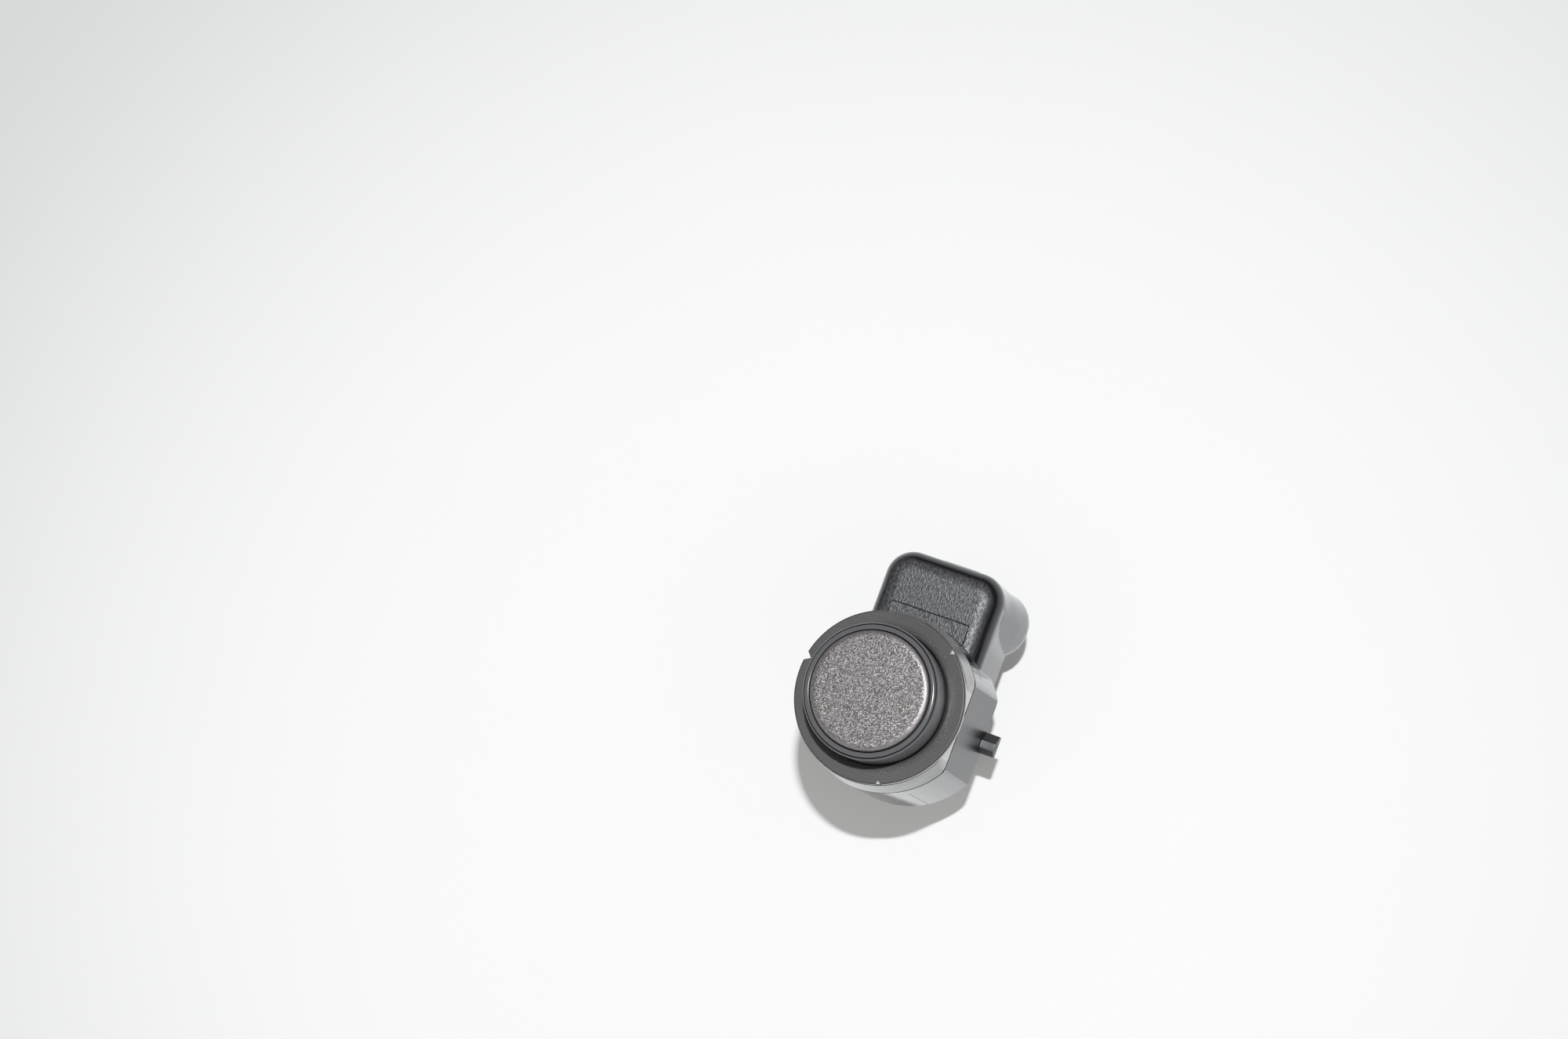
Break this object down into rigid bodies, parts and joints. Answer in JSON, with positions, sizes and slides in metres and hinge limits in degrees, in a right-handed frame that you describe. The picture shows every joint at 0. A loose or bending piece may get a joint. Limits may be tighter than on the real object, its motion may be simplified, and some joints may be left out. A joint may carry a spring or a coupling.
{
  "type": "parking sensor",
  "caption": "Ultrasonic bumper sensor: round painted membrane in a silicone ring and collar on a flat-sided barrel, with snap lugs and a side box ending in a rear-facing plug socket.",
  "frame": {"origin": "on the sensing axis, in the plane of the collar's front face", "axes": "+Z along the sensing axis, out of the membrane and up; +Y towards the connector; X across the two flats"},
  "size_m": [0.0242, 0.0325, 0.0388],
  "materials": {
    "membrane_paint": "metallic paint over aluminium, sparkling",
    "piezo_ceramic": "fired ceramic with a silvered face",
    "pad_foam": "open foam",
    "seal_silicone": "cast silicone, satin",
    "signal_lead": "insulated strand, satin",
    "return_lead": "insulated strand, satin",
    "ring_silicone": "moulded silicone, matt",
    "collar_plastic": "moulded, fine satin",
    "carrier_plastic": "moulded, satin",
    "pin_tin": "tin-plated",
    "housing_plastic": "moulded, half gloss with a grained box top",
    "board_laminate": "solder mask, satin",
    "chip_epoxy": "moulded epoxy, matt",
    "bobbin_plastic": "moulded, satin",
    "winding_copper": "lacquered wire",
    "core_ferrite": "sintered ferrite, matt",
    "buffer_body": "moulded, satin",
    "diode_epoxy": "moulded epoxy, matt",
    "capacitor_ceramic": "fired ceramic",
    "resistor_ceramic": "glazed ceramic",
    "terminal_tin": "tin-plated",
    "potting": "cast compound, glossy"
  },
  "bodies": {
    "root": {"transducer_cup": "membrane_paint", "piezo_disc": "piezo_ceramic", "damping_pad": "pad_foam", "cup_seal": "seal_silicone", "signal_lead": "signal_lead", "return_lead": "return_lead", "decoupling_ring": "ring_silicone", "front_collar": "collar_plastic", "contact_carrier": "carrier_plastic", "signal_pin": "pin_tin", "return_pin": "pin_tin", "housing": "housing_plastic", "circuit_board": "board_laminate", "control_chip": "chip_epoxy", "transformer_bobbin": "bobbin_plastic", "transformer_winding": "winding_copper", "transformer_core": "core_ferrite", "buffer_capacitor": "buffer_body", "protection_diode": "diode_epoxy", "ceramic_capacitors": "capacitor_ceramic", "chip_resistors": "resistor_ceramic", "supply_terminal": "terminal_tin", "data_terminal": "terminal_tin", "ground_terminal": "terminal_tin", "potting_compound": "potting"}
  },
  "joints": []
}
